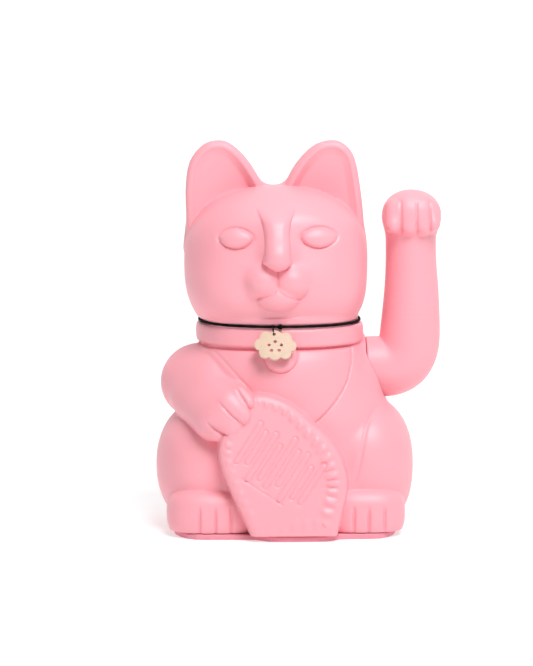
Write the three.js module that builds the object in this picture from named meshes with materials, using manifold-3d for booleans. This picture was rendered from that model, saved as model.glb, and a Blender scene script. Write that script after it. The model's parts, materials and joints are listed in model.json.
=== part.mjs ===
// Beckoning cat figurine: a hollow moulded seated cat on a base plate, with one
// raised arm that nods about a cross shaft.  A pendulum with a counterweight and
// a magnet hangs on the same shaft and swings over a driven coil.
// Millimetres.  +Z up, the cat faces -Y, its raised arm is at +X.
// Origin: centre of the underside of the base plate.
import * as THREE from "three";
import { mergeVertices } from "three/addons/utils/BufferGeometryUtils.js";
import Module from "manifold-3d";

const wasm = await Module();
wasm.setup();

// ------------------------------------------------------------ driving dimensions
const WALL = 2.0; // moulded wall of the body shells
const ARM_WALL = 1.8; // moulded wall of the arm shells
const GAP = 0.3; // clearance between neighbouring pieces
const PLATE_T = 2.0; // base plate thickness
const SHELL_Z0 = 2.35; // lower edge of the body shells
const HEAD = { x: -3.0, y: -1.0, z: 102.5, rx: 34.7, ry: 30, up: 27.2, down: 30 };
const NECK_X = -1.35; // centre line of the neck and collar
const CORD_Z = 78.9; // height of the neck cord
const CORD_R = 0.45; // radius of the neck cord
const PIVOT_Z = 60.4; // arm shaft height, at y = 0
const SHOULDER_X = 31.0; // flat shoulder face of the body
const ARM_X0 = 31.5; // flat root face of the arm
const ARM_R = 11.5; // radius of the arm's root
const SOCKET_R = 12.1; // scoop in the body round the arm's root
const FOREARM_X = 48.4; // centre line of the raised forearm
const PAW_Z = 118.4; // centre of the raised paw
const SHAFT_R = 1.5; // steel arm shaft
const BORE_R = 1.8; // bores round the arm shaft
const POST_X = 18; // bearing posts stand at +-POST_X
const CELL_R = 7.25; // round cell, 14.5 x 50.5
const CELL_Y = 24;
const CELL_Z = 10.3;
const WEIGHT_Y = 0.4; // counterweight offset that balances the forward paw
const COIN = { x: -2.1, y: -36.6, z: 24.4, a: 33.0, b: 23.2, lean: 6, roll: 30, t: 5.2 };
const TILT = 32; // lean of the charm, degrees from vertical
const PINK = "#ffb3c1", CREAM = "#efdcc4", BLACK = "#141214";

// ------------------------------------------------------------ solids
const D = Math.PI / 180;
const V = (x, y, z) => new THREE.Vector3(x, y, z);

function solid(geometry) {
  let g = geometry.clone();
  for (const n of Object.keys(g.attributes)) if (n !== "position") g.deleteAttribute(n);
  g = mergeVertices(g, 1e-4);
  const ix = g.index.array, keep = [];
  for (let i = 0; i < ix.length; i += 3)
    if (ix[i] !== ix[i + 1] && ix[i + 1] !== ix[i + 2] && ix[i] !== ix[i + 2])
      keep.push(ix[i], ix[i + 1], ix[i + 2]);
  return new wasm.Manifold(
    new wasm.Mesh({
      numProp: 3,
      vertProperties: new Float32Array(g.attributes.position.array),
      triVerts: new Uint32Array(keep),
    }),
  );
}
function geometryOf(m) {
  const mesh = m.getMesh(), n = mesh.numProp, v = new Float32Array(m.numVert() * 3);
  for (let i = 0; i < m.numVert(); i++) v.set(mesh.vertProperties.subarray(i * n, i * n + 3), i * 3);
  return new THREE.BufferGeometry()
    .setAttribute("position", new THREE.BufferAttribute(v, 3))
    .setIndex(new THREE.BufferAttribute(mesh.triVerts, 1));
}
const union = (...s) => s.reduce((a, b) => a.add(b));

function moved(g, p, rx = 0, ry = 0, rz = 0) {
  g.applyMatrix4(new THREE.Matrix4().makeRotationFromEuler(new THREE.Euler(rx * D, ry * D, rz * D, "ZYX")));
  g.translate(p.x, p.y, p.z);
  return g;
}
const box = (x0, x1, y0, y1, z0, z1) =>
  solid(moved(new THREE.BoxGeometry(x1 - x0, y1 - y0, z1 - z0), V((x0 + x1) / 2, (y0 + y1) / 2, (z0 + z1) / 2)));
// cylinder along an axis, from a to b on that axis
function rod(axis, a, b, u, v, r, seg = 24, r2 = r) {
  const g = new THREE.CylinderGeometry(r2, r, b - a, seg), m = (a + b) / 2;
  if (axis === "x") { g.rotateZ(-90 * D); g.translate(m, u, v); }
  if (axis === "y") g.translate(u, m, v);
  if (axis === "z") { g.rotateX(90 * D); g.translate(u, v, m); }
  return solid(g);
}
// super-ellipsoid: n is the exponent of its outline
function blob(c, r, { n = 2, seg = 18, rows = 10, rx = 0, ry = 0, rz = 0 } = {}) {
  const g = new THREE.SphereGeometry(1, seg, rows), p = g.attributes.position;
  for (let i = 0; i < p.count; i++) {
    const v = V(p.getX(i), p.getZ(i), p.getY(i));
    const s = (Math.abs(v.x) ** n + Math.abs(v.y) ** n + Math.abs(v.z) ** n) ** (-1 / n);
    p.setXYZ(i, v.x * s * r[0], -v.y * s * r[1], v.z * s * r[2]);
  }
  return solid(moved(g, V(...c), rx, ry, rz));
}
// closed stack of super-elliptic rings [z, half width, front y, rear y, exponent, centre x]
function loft(rings, seg = 32) {
  const prof = [new THREE.Vector2(0, 0), ...rings.map((r, i) => new THREE.Vector2(1, i)), new THREE.Vector2(0, rings.length - 1)];
  const g = new THREE.LatheGeometry(prof, seg), p = g.attributes.position;
  for (let i = 0; i < p.count; i++) {
    const [z, a, y0, y1, n, cx = 0] = rings[Math.round(p.getY(i))];
    const x = p.getX(i), y = -p.getZ(i), q = Math.hypot(x, y);
    if (q < 1e-6) { p.setXYZ(i, cx, (y0 + y1) / 2, z); continue; }
    const s = (Math.abs(x) ** n + Math.abs(y) ** n) ** (-1 / n);
    p.setXYZ(i, cx + x * s * a, (y0 + y1) / 2 + (y * s * (y1 - y0)) / 2, z);
  }
  return solid(g);
}
// round limb that tapers from a to b
function limb(a, b, ra, rb, seg = 16) {
  const L = a.distanceTo(b), prof = [];
  for (let i = 0; i <= 4; i++) prof.push(new THREE.Vector2(ra * Math.sin((i * 22.5) * D), -ra * Math.cos(i * 22.5 * D)));
  for (let i = 0; i <= 4; i++) prof.push(new THREE.Vector2(rb * Math.cos(i * 22.5 * D), L + rb * Math.sin(i * 22.5 * D)));
  prof[0].x = 0; prof[prof.length - 1].x = 0;
  const g = new THREE.LatheGeometry(prof, seg);
  g.applyQuaternion(new THREE.Quaternion().setFromUnitVectors(V(0, 1, 0), b.clone().sub(a).normalize()));
  g.translate(a.x, a.y, a.z);
  return solid(g);
}
// round bar swept along a planar curve in x and z, one radius for each point, flat ends
function sweep(path, radii, { seg = 16, steps = 15, depth = 1 } = {}) {
  const curve = new THREE.CatmullRomCurve3(path.map(([x, z]) => V(x, 0, z)), false, "centripetal");
  const g = new THREE.CylinderGeometry(1, 1, steps, seg, steps), p = g.attributes.position;
  for (let i = 0; i < p.count; i++) {
    const t = (p.getY(i) + steps / 2) / steps, c = curve.getPoint(t), d = curve.getTangent(t);
    const k = t * (radii.length - 1), j = Math.min(Math.floor(k), radii.length - 2), r = radii[j] + (radii[j + 1] - radii[j]) * (k - j);
    const u = p.getX(i) * r, w = p.getZ(i) * r * depth; // u: across, in the curve's plane; w: along y
    p.setXYZ(i, c.x - d.z * u, w, c.z + d.x * u);
  }
  return solid(g);
}
function extrude(points, depth, { bevel = 0, holes = [], curve = 1 } = {}) {
  const s = new THREE.Shape(points.map(([x, y]) => new THREE.Vector2(x, y)));
  for (const h of holes) s.holes.push(new THREE.Path(h.map(([x, y]) => new THREE.Vector2(x, y))));
  return new THREE.ExtrudeGeometry(s, {
    depth: depth - 2 * bevel, bevelEnabled: bevel > 0, bevelThickness: bevel, bevelSize: bevel,
    bevelOffset: -bevel, bevelSegments: curve, steps: 1,
  }).translate(0, 0, bevel);
}
function wire(points, r, sides = 8, steps = 12) {
  const path = new THREE.CatmullRomCurve3(points.map((p) => V(...p)), false, "centripetal");
  const s = new THREE.Shape();
  for (let i = 0; i < sides; i++) {
    const a = (i / sides) * 2 * Math.PI;
    i ? s.lineTo(r * Math.cos(a), r * Math.sin(a)) : s.moveTo(r, 0);
  }
  return solid(new THREE.ExtrudeGeometry(s, { steps, extrudePath: path, bevelEnabled: false }));
}
const smoothPoints = (pts, n) => new THREE.SplineCurve(pts.map((p) => new THREE.Vector2(...p))).getPoints(n).map((p) => [p.x, p.y]);

// ------------------------------------------------------------ the cat's form
// Ear outlines (x, z), from the outer foot over the tip to the inner foot.
const EAR_L = [[-36.8, 118], [-36.9, 128.9], [-35.0, 139.5], [-29.5, 145.4], [-25.2, 146.3], [-21.0, 145.6], [-13.8, 139.3], [-7.6, 129.2], [-5, 122]];
const EAR_R = [[-2, 122], [0.5, 129.4], [4.7, 137.6], [11.3, 144.3], [17.9, 146.4], [21.4, 145.6], [26.7, 139.7], [29.2, 126.5], [30.2, 118]];
function ear(outline, dish) {
  const pts = smoothPoints(outline, 13);
  const g = extrude([...pts, [outline.at(-1)[0] - 8, 112], [outline[0][0] + 8, 112]].reverse(), 13, { bevel: 2.6, curve: 1 });
  g.rotateX(90 * D).translate(0, 6.5, 0);
  return solid(g).subtract(blob(dish.c, dish.r, { seg: 10, rows: 6, ry: dish.ry }));
}
function headSolid(o) {
  const rings = [], { x, y, z, rx, ry, up, down } = HEAD;
  for (const s of [-0.86, -0.72, -0.5, -0.25, 0, 0.25, 0.48, 0.68, 0.83, 0.93, 0.985]) {
    const n = s < 0 ? 3.2 : 2.3, h = (s < 0 ? down : up) - o;
    const k = (1 - Math.abs(s) ** n) ** (1 / n);
    rings.push([z + s * h, (rx - o) * k, y - (ry - o) * k, y + (ry - o) * k, 2.2, x]);
  }
  return loft(rings, o ? 18 : 24);
}
function torsoSolid(o) {
  return loft([
    [o ? -1 : SHELL_Z0, 41 - o, -34.5 + o, 37 - o, 3.2],
    [8, 43 - o, -35 + o, 39 - o, 3.2], [20, 44 - o, -35 + o, 40.5 - o, 3.1], [32, 43 - o, -34 + o, 40 - o, 2.9],
    [43.5, 41 - o, -33 + o, 37.5 - o, 2.7], [52, 37.2 - o, -31.5 + o, 34 - o, 2.5], [60, 34 - o, -30.5 + o, 31.5 - o, 2.4, -0.3],
    [68, 32 - o, -29.2 + o, 29.5 - o, 2.35, -0.8], [70.5, 31 - o, -28.3 + o, 28.6 - o, 2.3, NECK_X],
    ...(o ? [[79, 30 - o, -26.4 + o, 27 - o, 2.3, NECK_X], [84, 29 - o, -25 + o, 26 - o, 2.3, NECK_X]]
          : [[71.0, 31.9, -29.0, 29.2, 2.3, NECK_X], [74.5, 32.2, -29.1, 29.4, 2.3, NECK_X], [76.9, 31.6, -28.7, 28.9, 2.3, NECK_X],
             [77.8, 30.6, -27.6, 27.9, 2.3, NECK_X], [79.2, 29.8, -26.6, 27.0, 2.3, NECK_X], [84, 29, -25.4, 26, 2.3, HEAD.x]]),
  ], o ? 18 : 26);
}
const coinFrame = (g) => {
  g.rotateZ(COIN.roll * D); // long axis leans from upright towards -x at its top
  g.rotateX((90 - COIN.lean) * D);
  g.translate(COIN.x, COIN.y, COIN.z);
  return g;
};
function coinSolid() {
  const e = [];
  for (let i = 0; i < 28; i++) {
    const a = (i / 28) * 2 * Math.PI;
    e.push([COIN.b * Math.cos(a), COIN.a * Math.sin(a)]);
  }
  return solid(coinFrame(extrude(e, COIN.t + 6, { bevel: 2.4, curve: 1 }).translate(0, 0, -6)));
}
const haunch = (s, o) => blob([s * 28.7, -6, 24.5], [19.9 - o, 26.5 - o, 24 - o], { n: 2.1, seg: o ? 12 : 16, rows: o ? 6 : 8 });
const foot = (cx, r, o) => blob([cx, -23, 7.5], [r - o, 14.6 - o, 11.4 - o], { n: 2.7, seg: o ? 10 : 14, rows: o ? 6 : 7 });

const below = box(-80, 80, -80, 80, -60, SHELL_Z0);
const outer = union(
  torsoSolid(0), headSolid(0), haunch(-1, 0), haunch(1, 0), foot(-31, 12.3, 0), foot(33.6, 11.7, 0),
  limb(V(-33.3, -3, 55.8), V(-17, -24.5, 47.5), 13.3, 11.2, 14), // the arm that holds the coin
  blob([-21.5, -32, 41.5], [9.6, 7.6, 8.4], { seg: 12, rows: 6, ry: 40 }), // its paw
  blob([-1, -13, 58], [25, 18.4, 15.5], { seg: 14, rows: 8 }), // chest
  blob([-2.8, -28.2, 95], [11.6, 8.4, 9], { seg: 14, rows: 6 }), // muzzle
  blob([-2.2, -29.3, 68.4], [6.4, 3.7, 6.4], { seg: 12, rows: 6 }), // moulded bell under the collar
  blob([9, 38.5, 20], [8.5, 5.5, 14], { seg: 10, rows: 6, ry: 25 }), // tail curled against the back
  ear(EAR_L, { c: [-22.5, -9.5, 134], r: [8.5, 7, 12.5], ry: -14 }),
  ear(EAR_R, { c: [16.5, -9.5, 134], r: [8.5, 7, 12.5], ry: 14 }),
  coinSolid(),
).subtract(below).subtract(rod("x", SHOULDER_X, 70, 0, PIVOT_Z, SOCKET_R, 24));

const socketWall = rod("x", SHOULDER_X - WALL, 70, 0, PIVOT_Z, SOCKET_R + WALL, 16);
const boss = (x, y) => union(rod("z", SHELL_Z0, 13, x, y, 3, 10), box(Math.min(x, x + Math.sign(x) * 9), Math.max(x, x + Math.sign(x) * 9), y - 0.8, y + 0.8, SHELL_Z0, 13));
const BOSSES = [[-35, -9], [35, -9], [-35, 9], [35, 9]];
const cavity = union(
  torsoSolid(WALL), headSolid(WALL), haunch(-1, WALL + 0.3), haunch(1, WALL + 0.3), foot(-31, 12.3, WALL + 0.3), foot(33.6, 11.7, WALL + 0.3),
  limb(V(-33.3, -3, 55.8), V(-17, -24.5, 47.5), 11, 8.8, 10),
).subtract(socketWall);
const bosses = union(...BOSSES.map(([x, y]) => boss(x, y))).intersect(outer);
let body = outer.subtract(cavity).add(bosses).subtract(rod("x", 20, 40, 0, PIVOT_Z, 2.4, 20));
for (const [x, y] of BOSSES) body = body.subtract(rod("z", 0, 11, x, y, 1.45, 8));
const largest = (m) => m.decompose().sort((a, b) => b.volume() - a.volume())[0];
const frontShell = largest(body.subtract(box(-90, 90, -GAP / 2, 90, -10, 160)));
const rearShell = largest(body.subtract(box(-90, 90, -90, GAP / 2, -10, 160)));

// ------------------------------------------------------------ base plate, door, battery
const superRear = [];
for (let i = 0; i <= 18; i++) {
  const a = (i / 18) * Math.PI, n = 3.4, c = Math.cos(a), s = Math.sin(a);
  const k = (Math.abs(c) ** n + Math.abs(s) ** n) ** (-1 / n);
  superRear.push([41.8 * c * k, 5 + 33 * s * k]);
}
const plateOutline = [
  ...superRear, [-42, -8], [-42, -18], [-41.6, -24], [-39.9, -30], [-37.2, -34.4], [-34, -36.6], [-29, -37.3], [-18, -37.4], [-12, -38.2],
  [-9, -40.6], [-6.5, -42.4], [-2, -43], [10, -43], [14.5, -42.4], [17.5, -40.2], [19.5, -38], [24, -37.2], [31, -37.1], [35, -36.2], [38.2, -33],
  [40.3, -28], [41.6, -21], [42, -10],
];
const round = (x0, x1, y0, y1, r, k = 4) => {
  const p = [];
  for (const [cx, cy, a0] of [[x1 - r, y1 - r, 0], [x0 + r, y1 - r, 90], [x0 + r, y0 + r, 180], [x1 - r, y0 + r, 270]])
    for (let i = 0; i <= k; i++) p.push([cx + r * Math.cos((a0 + (i * 90) / k) * D), cy + r * Math.sin((a0 + (i * 90) / k) * D)]);
  return p;
};
const DOOR = { x0: -30.6, x1: 28.6, y0: 15.3, y1: 32.9 };
const SCREWS = [...BOSSES, [-23.5, 0], [23.5, 0]];
let basePlate = solid(extrude(plateOutline, PLATE_T, { bevel: 0.35 }));
basePlate = basePlate
  .subtract(solid(extrude(round(DOOR.x0 - GAP, DOOR.x1 + GAP, DOOR.y0 - GAP, DOOR.y1 + GAP, 2), 2.65).translate(0, 0, -1)))
  .subtract(solid(extrude(round(-29.9, 26.9, 16.3, 31.7, 1), 4).translate(0, 0, -1)))
  .subtract(box(-30.1, -23.9, -17.3, -14.7, -1, 4));
for (const [x, y] of SCREWS)
  basePlate = basePlate.subtract(rod("z", -1, 4, x, y, 1.5, 10)).subtract(rod("z", -1, 1.25, x, y, 2.9, 16));
basePlate = union(
  basePlate,
  box(-32, -30.4, 19, 27.5, 1.5, 14), box(27.4, 29, 18.5, 28.5, 1.5, 14), // cell end walls
  box(-24, 24, 13.9, 15.2, 1.5, 7), box(-12, 12, 33.3, 34.2, 1.5, 6), // cell side ribs
  ...[[-12, -12], [12, -12], [-12, 8], [12, 8]].map(([x, y]) => rod("z", 1.5, 4, x, y, 1.6, 8)), // board pegs
);
const doorHalf = 0.7;
const batteryDoor = union(
  solid(extrude(round(DOOR.x0, DOOR.x1, DOOR.y0, DOOR.y1, 2), 1.2, { bevel: 0.2 }).translate(0, 0, 0.15)),
  box(-4, 4, 30.2, 31.2, 1.2, 3.2), // snap latch
).subtract(box(-5, 5, 31.9, 34, -0.5, doorHalf)); // finger notch

const cell = solid(new THREE.LatheGeometry(
  [[0, 0], [6.4, 0], [7.0, 0.3], [7.25, 0.9], [7.25, 48.6], [6.9, 49.1], [2.9, 49.1], [2.75, 50.4], [0, 50.4]].map((p) => new THREE.Vector2(...p)), 20,
).rotateZ(-90 * D).translate(-25, CELL_Y, CELL_Z));
const springPts = [];
for (let i = 0; i <= 30; i++) {
  const a = (i / 30) * 3 * 2 * Math.PI, r = 4.6 - 1.7 * (i / 30);
  springPts.push([-29.6 + 4.0 * (i / 30), CELL_Y + r * Math.cos(a), CELL_Z + r * Math.sin(a)]);
}
const contactNeg = wire(springPts, 0.35, 5, 42);
const contactPos = union(box(26.5, 27.0, 20, 28, 5, 16.5), rod("x", 25.75, 26.6, CELL_Y, CELL_Z, 2.2, 16, 2.2));

// ------------------------------------------------------------ mechanism
const archOutline = [
  [-27.5, 2.3], [-17, 2.3], [-17, 68], [17, 68], [17, 2.3], [27.5, 2.3], [27.5, 4.3], [19, 4.3], [19, 69], [18, 70], [-18, 70], [-19, 69], [-19, 4.3], [-27.5, 4.3],
];
let archway = solid(extrude(archOutline, 9).rotateX(90 * D).translate(0, 4.5, 0));
archway = archway.add(rod("x", -20, -16.4, 0, PIVOT_Z, 4, 16)).add(rod("x", 16.4, 20, 0, PIVOT_Z, 4, 16))
  .subtract(rod("x", -40, 40, 0, PIVOT_Z, BORE_R, 16))
  .subtract(rod("z", 0, 8, -23.5, 0, 1.45, 8)).subtract(rod("z", 0, 8, 23.5, 0, 1.45, 8));

const shaft = rod("x", -23, 45, 0, PIVOT_Z, SHAFT_R, 20);
function clip(x) {
  const p = [];
  for (let i = 0; i <= 10; i++) { const a = (-60 + (i / 10) * 300) * D; p.push([3.6 * Math.cos(a), 3.6 * Math.sin(a)]); }
  for (let i = 10; i >= 0; i--) { const a = (-60 + (i / 10) * 300) * D; p.push([1.8 * Math.cos(a), 1.8 * Math.sin(a)]); }
  return solid(extrude(p, 0.7).rotateY(90 * D).translate(x, 0, PIVOT_Z));
}
const lever = union(
  rod("x", -4, 4, 0, PIVOT_Z, 5, 20), box(-2.5, 2.5, -1.5, 1.5, 18.5, PIVOT_Z - 3), rod("z", 17.5, 19, 0, 0, 5.2, 20),
).subtract(rod("x", -10, 10, 0, PIVOT_Z, BORE_R, 16));
const weight = solid(extrude(round(-9, 9, -6.5 + WEIGHT_Y, 6.5 + WEIGHT_Y, 1.5), 14, { bevel: 0.4, holes: [round(-2.8, 2.8, -1.8, 1.8, 0.3, 1)] }).translate(0, 0, 19.4));
const magnet = solid(new THREE.LatheGeometry([[0, 0], [4.7, 0], [5, 0.3], [5, 2.7], [4.7, 3], [0, 3]].map((p) => new THREE.Vector2(...p)), 20).rotateX(90 * D).translate(0, 0, 14.2));
const hub = rod("x", 34, 41, 0, PIVOT_Z, 6.5, 20).subtract(rod("x", 30, 50, 0, PIVOT_Z, BORE_R, 16));

const board = solid(extrude(round(-14, 14, -14, 10, 1, 2), 1.6, {}).translate(0, 0, 4.3));
const bobbin = solid(new THREE.LatheGeometry(
  [[1.2, 0], [8, 0], [8, 0.8], [3.5, 0.8], [3.5, 4.8], [8, 4.8], [8, 5.6], [1.2, 5.6], [1.2, 0]].map((p) => new THREE.Vector2(...p)), 20).rotateX(90 * D).translate(0, 0, 6.2));
const winding = solid(new THREE.LatheGeometry(
  [[3.8, 0], [7.3, 0], [7.5, 0.3], [7.5, 3.1], [7.3, 3.4], [3.8, 3.4], [3.8, 0]].map((p) => new THREE.Vector2(...p)), 20).rotateX(90 * D).translate(0, 0, 7.3));
const chip = box(-12.5, -9.5, -6, -1, 6.2, 7.8);
const capacitor = solid(new THREE.LatheGeometry([[0, 0], [2.3, 0], [2.5, 0.4], [2.5, 6], [2.2, 6.4], [0, 6.4]].map((p) => new THREE.Vector2(...p)), 14).rotateX(90 * D).translate(10.6, -8.5, 6.2));

const switchBody = box(-31.4, -22.6, -18.4, -13.6, 2.3, 7).subtract(box(-30.3, -23.7, -17.2, -14.8, 1, 5.4));
const switchSlider = solid(extrude(round(-29.9, -26.9, -16.9, -15.1, 0.4, 2), 4.4, { bevel: 0.2 }).translate(0, 0, 0.5));

const leadPos = wire([[26.6, 19, 16.9], [24, 16, 18.2], [21.5, 11, 12], [17, 8, 9], [13.2, 6.5, 7.6], [12, 6, 6.4]], 0.55, 6, 12);
const leadNeg = wire([[-30.9, 19, 15.6], [-31.5, 13, 14], [-31, 4, 12], [-29, -8, 10.5], [-28.5, -14, 8.8], [-28.4, -15.5, 7.5]], 0.55, 6, 12);
const leadSwitch = wire([[-24.6, -16, 7.5], [-22, -15, 9.5], [-17, -13, 9.4], [-13.5, -11, 8], [-12.3, -10, 6.4]], 0.55, 6, 9);

// ------------------------------------------------------------ raised arm
const ARM_PATH = [[ARM_X0, 60.4], [36, 60.4], [41, 60.6], [45.4, 63.4], [47.8, 68.2], [48.4, 75], [48.7, 83], [48.6, 92], [48.4, 101], [FOREARM_X, 110], [FOREARM_X, 117]];
const ARM_RADII = [ARM_R, 11.5, 11.6, 11.6, 11.5, 11.3, 10.7, 10.1, 9.6, 9.5, 10];
const pawParts = (o) => [
  blob([FOREARM_X, -2.6, PAW_Z], [11.2 - o, 11 - o, 9.2 - o], { n: 2.4, seg: 14, rows: 8 }),
];
const armOuter = union(
  sweep(ARM_PATH, ARM_RADII), ...pawParts(0),
  ...[41.2, 46.6, 52.3, 56.9].map((x, i) => blob([x, -9.6, 117.2 - (i === 3 ? 0.6 : 0)], [i === 3 ? 2.6 : 3.2, 5.4, 6.6], { seg: 8, rows: 5 })),
);
const armInner = union(
  sweep([[ARM_X0 + ARM_WALL, 60.4], ...ARM_PATH.slice(1)], ARM_RADII.map((r) => r - ARM_WALL), { seg: 12, steps: 12 }), ...pawParts(ARM_WALL + 0.4),
);
const arm = armOuter.subtract(armInner).subtract(rod("x", 20, 40, 0, PIVOT_Z, BORE_R, 12));
const armFront = largest(arm.subtract(box(0, 90, -GAP / 2, 90, 0, 160)));
const armRear = largest(arm.subtract(box(0, 90, -90, GAP / 2, 0, 160)));

// ------------------------------------------------------------ neck cord and charm
// cord: a closed loop round the neck with a small knot beside the charm
const ringGeo = new THREE.TorusGeometry(30, CORD_R, 5, 52), rp = ringGeo.attributes.position;
for (let i = 0; i < rp.count; i++) {
  const x = rp.getX(i), y = rp.getY(i), q = Math.hypot(x, y), a = Math.atan2(y, x), n = 2.3;
  const s = (Math.abs(Math.cos(a)) ** n + Math.abs(Math.sin(a)) ** n) ** (-1 / n);
  rp.setXYZ(i, NECK_X + (31.7 * s + (q - 30)) * Math.cos(a), 0.1 + (29.9 * s + (q - 30)) * Math.sin(a), CORD_Z + rp.getZ(i));
}
const cordY = -29.8;
const CHARM_X = -5.0, KNOT_X = -2.6;
const neckCord = solid(ringGeo).add(blob([KNOT_X, cordY + 0.05, CORD_Z], [0.95, 0.75, 0.8], { seg: 8, rows: 5 }));

// Charm frame: local x across, local y up the leaning charm, local z out of its face; origin on the cord.
const charmFrame = (g) => g.rotateX((90 - TILT) * D).translate(CHARM_X, cordY, CORD_Z);
// thread loop: round the cord at its top and through the charm's eyelet at its bottom
const loopPath = new (class extends THREE.Curve {
  getPoint(t, v = new THREE.Vector3()) {
    const h = 2.6, w = 0.9, per = 2 * h + 2 * Math.PI * w;
    let s = (t % 1) * per;
    if (s < h) return v.set(0, -h + s, w);
    s -= h;
    if (s < Math.PI * w) return v.set(0, w * Math.sin(s / w), w * Math.cos(s / w));
    s -= Math.PI * w;
    if (s < h) return v.set(0, -s, -w);
    s -= h;
    return v.set(0, -h - w * Math.sin(s / w), -w * Math.cos(s / w));
  }
})();
const loopGeo = new THREE.TorusGeometry(1, 0.22, 5, 22), lp = loopGeo.attributes.position;
for (let i = 0; i < lp.count; i++) {
  const x = lp.getX(i), y = lp.getY(i), q = Math.hypot(x, y) - 1, t = ((Math.atan2(y, x) / (2 * Math.PI)) % 1 + 1) % 1;
  const c = loopPath.getPoint(t), c2 = loopPath.getPoint((t + 0.002) % 1), d = c2.clone().sub(c).normalize();
  const nrm = V(0, d.z, -d.y); // outward in the loop's plane
  lp.setXYZ(i, lp.getZ(i), c.y + nrm.y * q, c.z + nrm.z * q);
}
const charmLoop = solid(charmFrame(loopGeo));
// charm: a plain scalloped pebble, eight lobes
const lobes = [];
for (let i = 0; i < 48; i++) {
  const a = (i / 48) * 2 * Math.PI, k = 1 + 0.055 * Math.cos(8 * a);
  lobes.push([7.7 * k * Math.cos(a), 5.5 * k * Math.sin(a)]);
}
const charmPlate = solid(charmFrame(extrude(lobes, 2.0, { bevel: 0.4 }).translate(0, -9.0, -1.0)));
const charmTab = solid(charmFrame(extrude(round(-1.7, 1.7, -5.5, -1.75, 0.9, 3), 0.7).translate(0, 0, -0.35)));
const charmHole = solid(charmFrame(new THREE.CylinderGeometry(0.72, 0.72, 6, 12).rotateX(90 * D).translate(0, -3.35, 0)));
const charm = charmPlate.add(charmTab).subtract(charmHole);

// ------------------------------------------------------------ scene
const group = new THREE.Group();
group.name = "beckoning_cat";
function add(name, s, color, roughness = 0.6, metalness = 0) {
  const mesh = new THREE.Mesh(geometryOf(s), new THREE.MeshStandardMaterial({ color, roughness, metalness }));
  mesh.name = name;
  group.add(mesh);
}
const screw = (x, y, top) => union(rod("z", 0.25, 0.95, x, y, 2.5, 16, 2.5), rod("z", 0.9, top, x, y, 1.15, 8)).subtract(box(x - 1.6, x + 1.6, y - 0.25, y + 0.25, 0, 0.55)).subtract(box(x - 0.25, x + 0.25, y - 1.6, y + 1.6, 0, 0.55));
add("body_shell_front", frontShell, PINK);
add("body_shell_rear", rearShell, PINK);
add("base_plate", basePlate, PINK);
add("battery_door", batteryDoor, PINK);
add("battery_cell", cell, "#3f6b5a", 0.4);
add("battery_contact_positive", contactPos, "#c9c9c4", 0.3, 1);
add("battery_contact_negative", contactNeg, "#c9c9c4", 0.3, 1);
add("mechanism_frame", archway, "#e8e6e0");
add("frame_screw_left", screw(-23.5, 0, 6), "#b9bbbd", 0.35, 1);
add("frame_screw_right", screw(23.5, 0, 6), "#b9bbbd", 0.35, 1);
add("shell_screw_front_left", screw(-35, -9, 9.5), "#b9bbbd", 0.35, 1);
add("shell_screw_front_right", screw(35, -9, 9.5), "#b9bbbd", 0.35, 1);
add("shell_screw_rear_left", screw(-35, 9, 9.5), "#b9bbbd", 0.35, 1);
add("shell_screw_rear_right", screw(35, 9, 9.5), "#b9bbbd", 0.35, 1);
add("arm_shaft", shaft, "#bcbec1", 0.25, 1);
add("shaft_clip_left", clip(-21.1), "#8d9094", 0.35, 1);
add("shaft_clip_right", clip(20.4), "#8d9094", 0.35, 1);
add("arm_hub", hub, "#e8e6e0");
add("pendulum_lever", lever, "#e8e6e0");
add("counterweight", weight, "#8b8d90", 0.4, 1);
add("pendulum_magnet", magnet, "#b4b4b8", 0.2, 1);
add("arm_shell_front", armFront, PINK);
add("arm_shell_rear", armRear, PINK);
add("circuit_board", board, "#2f6b3c", 0.5);
add("coil_bobbin", bobbin, "#1c1c1e", 0.5);
add("coil_winding", winding, "#b26a38", 0.35, 1);
add("driver_chip", chip, "#17171a", 0.4);
add("capacitor", capacitor, "#26324f", 0.4);
add("switch_body", switchBody, "#2a2a2c", 0.5);
add("switch_slider", switchSlider, "#18181a", 0.5);
add("lead_positive", leadPos, "#b4231f", 0.5);
add("lead_negative", leadNeg, "#17171a", 0.5);
add("lead_switch", leadSwitch, "#17171a", 0.5);
add("neck_cord", neckCord, BLACK, 0.8);
add("charm_loop", charmLoop, BLACK, 0.8);
add("charm", charm, CREAM, 0.5);

export default group;
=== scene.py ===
# Looks of the beckoning cat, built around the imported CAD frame.  The moulded
# shells are carved as distance fields in millimetres, turned into meshes, hollowed
# to their real wall and split at the parting plane.
import bpy, bmesh, json, math
import numpy as np
from concurrent.futures import ThreadPoolExecutor
from mathutils import Matrix, Vector
import openvdb as vdb


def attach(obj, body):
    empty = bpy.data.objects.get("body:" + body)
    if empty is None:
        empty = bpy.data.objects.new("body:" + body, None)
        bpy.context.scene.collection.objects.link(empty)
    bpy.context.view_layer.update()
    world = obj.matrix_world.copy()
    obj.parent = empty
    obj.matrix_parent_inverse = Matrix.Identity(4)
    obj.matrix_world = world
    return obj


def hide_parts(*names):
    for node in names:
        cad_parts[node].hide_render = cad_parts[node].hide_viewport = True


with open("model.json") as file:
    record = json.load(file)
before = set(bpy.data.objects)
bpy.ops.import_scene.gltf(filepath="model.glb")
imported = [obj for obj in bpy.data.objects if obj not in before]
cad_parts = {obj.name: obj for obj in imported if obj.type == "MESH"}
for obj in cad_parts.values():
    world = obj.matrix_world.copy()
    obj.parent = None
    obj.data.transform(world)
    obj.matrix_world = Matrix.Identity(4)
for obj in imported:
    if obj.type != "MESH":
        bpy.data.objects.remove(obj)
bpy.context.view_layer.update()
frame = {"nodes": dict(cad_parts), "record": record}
MM = 0.001
F = np.float32

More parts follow.
